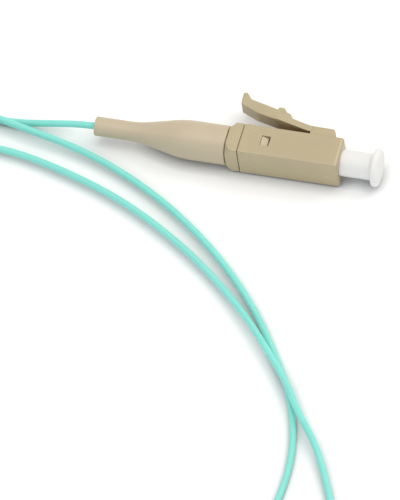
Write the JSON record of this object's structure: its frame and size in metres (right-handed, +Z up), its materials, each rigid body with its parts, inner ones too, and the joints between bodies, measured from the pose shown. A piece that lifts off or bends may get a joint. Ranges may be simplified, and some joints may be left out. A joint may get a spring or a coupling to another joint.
{
  "type": "lc fibre pigtail connector",
  "caption": "Small square fibre plug with a thumb latch, white dust cap, tapered boot and a thin buffered fibre lying in loose arcs.",
  "frame": {"origin": "centre of the plug's nose face, on the ferrule's axis", "axes": "+X out of the nose, +Y towards the latch, +Z up, with the pigtail lying on its side"},
  "size_m": [0.0825, 0.0772, 0.0051],
  "materials": {
    "housing": "beige moulded plastic, satin",
    "boot": "beige elastomer, matt",
    "ferrule": "polished white zirconia",
    "glass": "clear glass",
    "holder": "turned metal",
    "guide_tube": "translucent white tube",
    "spring": "spring wire",
    "dust_cap": "milky white soft plastic",
    "fibre": "aqua buffer, satin",
    "tie": "plain white strip"
  },
  "bodies": {
    "plug": {"front_housing": "housing", "rear_housing": "housing", "boot": "boot", "spring": "spring", "inner_buffer": "fibre", "fibre_cord": "fibre", "fibre_coil": "fibre", "coil_tie": "tie"},
    "latch": {"latch_arm": "housing"},
    "ferrule_set": {"ferrule": "ferrule", "glass_fibre": "glass", "ferrule_holder": "holder", "guide_tube": "guide_tube"},
    "cap": {"dust_cap": "dust_cap"}
  },
  "joints": [
    {"name": "latch_press", "type": "hinge", "parent": "plug", "child": "latch", "pos_m": [-0.00485, 0.00301, 0], "axis": [0, 0, 1], "range_deg": [0, 12], "stiffness_Nm_per_rad": 0.1},
    {"name": "ferrule_float", "type": "slide", "parent": "plug", "child": "ferrule_set", "axis": [1, 0, 0], "range_m": [-0.0008, 0], "stiffness_N_per_m": 600, "deforming": ["spring"]},
    {"name": "cap_pull", "type": "slide", "parent": "plug", "child": "cap", "axis": [1, 0, 0], "range_m": [0, 0.008]}
  ]
}
